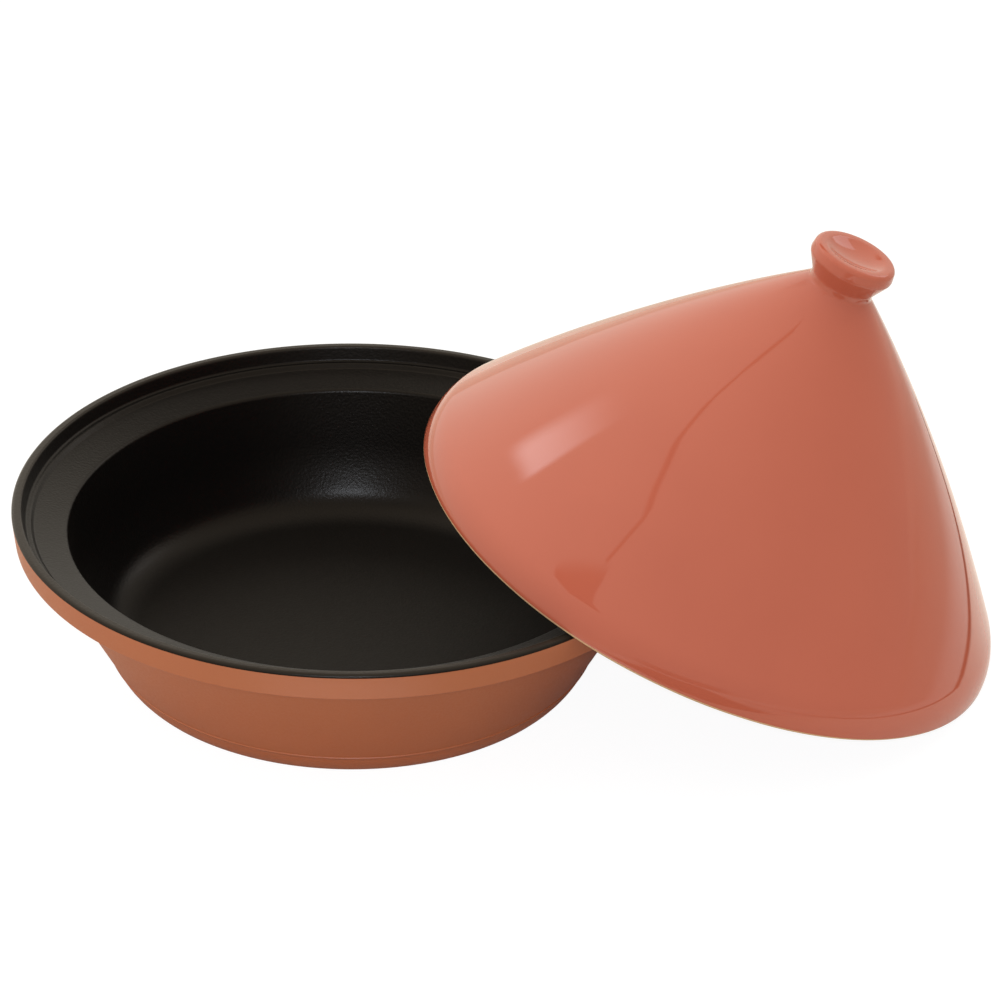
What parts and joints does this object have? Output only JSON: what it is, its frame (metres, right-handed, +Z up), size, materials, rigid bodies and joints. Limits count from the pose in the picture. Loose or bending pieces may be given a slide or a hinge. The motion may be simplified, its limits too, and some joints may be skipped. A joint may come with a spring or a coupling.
{
  "type": "tagine pot",
  "caption": "Round cooking pot with a shallow flared pan, a stepped rim that seats its lid, and a tall conical lid with a dished knob, shown leaning on the rim.",
  "frame": {"origin": "middle of the pan's flat underside", "axes": "+Z up along the pan's axis, +X towards the side where the lid leans"},
  "size_m": [0.4351, 0.2996, 0.2062],
  "materials": {
    "coated_casting": "satin terracotta coating outside, satin black non-stick coating inside",
    "glazed_lid": "glossy terracotta glaze"
  },
  "bodies": {
    "pan": {"pan": "coated_casting"},
    "lid": {"lid": "glazed_lid"}
  },
  "joints": [
    {"name": "lid_lift", "type": "slide", "parent": "pan", "child": "lid", "axis": [0, 0, 1], "range_m": [0, 0.15]}
  ]
}
